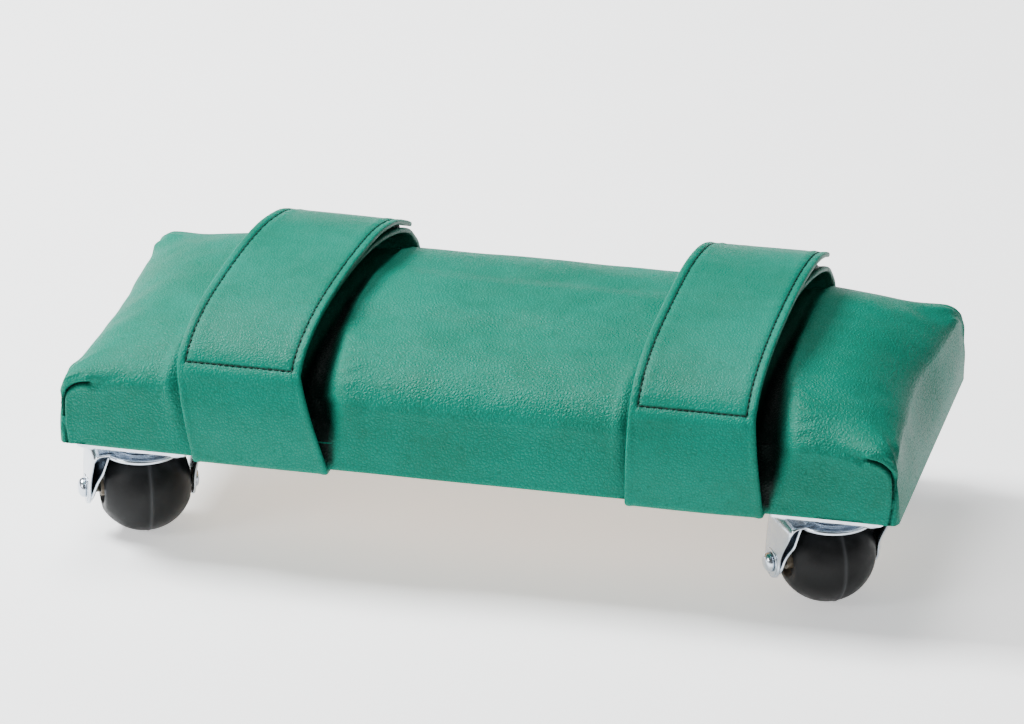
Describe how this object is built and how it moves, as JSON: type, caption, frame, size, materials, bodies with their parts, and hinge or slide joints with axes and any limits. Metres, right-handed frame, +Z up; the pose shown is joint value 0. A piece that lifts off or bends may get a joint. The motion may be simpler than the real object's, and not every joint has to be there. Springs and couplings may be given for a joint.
{
  "type": "padded strap creeper board",
  "caption": "Small padded vinyl-covered board on swivelling ball casters, with wide hook-and-loop strap loops across its top.",
  "frame": {"origin": "on the floor under the middle of the board", "axes": "+X along the board, +Y from the front edge to the rear edge, +Z up"},
  "size_m": [0.43, 0.1921, 0.1357],
  "materials": {
    "pad_vinyl": "soft grained vinyl, satin",
    "strap_vinyl": "fine grained vinyl, satin",
    "plywood": "sanded plywood",
    "foam": "open cell foam",
    "hook_and_loop": "napped tape",
    "zinc_steel": "bright zinc plate",
    "wheel_rubber": "moulded, dull",
    "bush_nylon": "moulded"
  },
  "bodies": {
    "root": {"deck_board": "plywood", "foam_pad": "foam", "vinyl_cover": "pad_vinyl", "front_band_left": "strap_vinyl", "rear_band_left": "strap_vinyl", "loop_tape_left": "hook_and_loop", "front_band_right": "strap_vinyl", "rear_band_right": "strap_vinyl", "loop_tape_right": "hook_and_loop", "front_left_caster_plate": "zinc_steel", "front_left_bearing_race": "zinc_steel", "front_left_kingpin": "zinc_steel", "front_left_plate_screw_1": "zinc_steel", "front_left_plate_screw_2": "zinc_steel", "front_left_plate_screw_3": "zinc_steel", "front_left_plate_screw_4": "zinc_steel", "front_right_caster_plate": "zinc_steel", "front_right_bearing_race": "zinc_steel", "front_right_kingpin": "zinc_steel", "front_right_plate_screw_1": "zinc_steel", "front_right_plate_screw_2": "zinc_steel", "front_right_plate_screw_3": "zinc_steel", "front_right_plate_screw_4": "zinc_steel", "rear_left_caster_plate": "zinc_steel", "rear_left_bearing_race": "zinc_steel", "rear_left_kingpin": "zinc_steel", "rear_left_plate_screw_1": "zinc_steel", "rear_left_plate_screw_2": "zinc_steel", "rear_left_plate_screw_3": "zinc_steel", "rear_left_plate_screw_4": "zinc_steel", "rear_right_caster_plate": "zinc_steel", "rear_right_bearing_race": "zinc_steel", "rear_right_kingpin": "zinc_steel", "rear_right_plate_screw_1": "zinc_steel", "rear_right_plate_screw_2": "zinc_steel", "rear_right_plate_screw_3": "zinc_steel", "rear_right_plate_screw_4": "zinc_steel"},
    "left_flap": {"front_flap_left": "strap_vinyl", "hook_tape_left": "hook_and_loop"},
    "right_flap": {"front_flap_right": "strap_vinyl", "hook_tape_right": "hook_and_loop"},
    "front_left_swivel": {"front_left_fork": "zinc_steel", "front_left_axle": "zinc_steel"},
    "front_left_wheel": {"front_left_ball_wheel": "wheel_rubber", "front_left_wheel_bush": "bush_nylon"},
    "front_right_swivel": {"front_right_fork": "zinc_steel", "front_right_axle": "zinc_steel"},
    "front_right_wheel": {"front_right_ball_wheel": "wheel_rubber", "front_right_wheel_bush": "bush_nylon"},
    "rear_left_swivel": {"rear_left_fork": "zinc_steel", "rear_left_axle": "zinc_steel"},
    "rear_left_wheel": {"rear_left_ball_wheel": "wheel_rubber", "rear_left_wheel_bush": "bush_nylon"},
    "rear_right_swivel": {"rear_right_fork": "zinc_steel", "rear_right_axle": "zinc_steel"},
    "rear_right_wheel": {"rear_right_ball_wheel": "wheel_rubber", "rear_right_wheel_bush": "bush_nylon"}
  },
  "joints": [
    {"name": "left_flap_open", "type": "hinge", "parent": "root", "child": "left_flap", "pos_m": [-0.1212, -0.0912, 0.1092], "axis": [1, 0, 0], "range_deg": [0, 150]},
    {"name": "right_flap_open", "type": "hinge", "parent": "root", "child": "right_flap", "pos_m": [0.1103, -0.0912, 0.1092], "axis": [1, 0, 0], "range_deg": [0, 150]},
    {"name": "front_left_swivel", "type": "hinge", "parent": "root", "child": "front_left_swivel", "pos_m": [-0.178, -0.07, 0.0552], "axis": [0, 0, 1], "continuous": true},
    {"name": "front_left_roll", "type": "hinge", "parent": "front_left_swivel", "child": "front_left_wheel", "pos_m": [-0.18144, -0.0561, 0.025], "axis": [0.8988, 0.4384, 0], "continuous": true},
    {"name": "front_right_swivel", "type": "hinge", "parent": "root", "child": "front_right_swivel", "pos_m": [0.178, -0.07, 0.0552], "axis": [0, 0, 1], "continuous": true},
    {"name": "front_right_roll", "type": "hinge", "parent": "front_right_swivel", "child": "front_right_wheel", "pos_m": [0.17243, -0.05681, 0.025], "axis": [0.8192, 0.5736, 0], "continuous": true},
    {"name": "rear_left_swivel", "type": "hinge", "parent": "root", "child": "rear_left_swivel", "pos_m": [-0.178, 0.07, 0.0552], "axis": [0, 0, 1], "continuous": true},
    {"name": "rear_left_roll", "type": "hinge", "parent": "rear_left_swivel", "child": "rear_left_wheel", "pos_m": [-0.17603, 0.05582, 0.025], "axis": [-0.9397, -0.342, 0], "continuous": true},
    {"name": "rear_right_swivel", "type": "hinge", "parent": "root", "child": "rear_right_swivel", "pos_m": [0.178, 0.07, 0.0552], "axis": [0, 0, 1], "continuous": true},
    {"name": "rear_right_roll", "type": "hinge", "parent": "rear_right_swivel", "child": "rear_right_wheel", "pos_m": [0.1639, 0.06754, 0.025], "axis": [-0.3746, 0.9272, 0], "continuous": true}
  ]
}
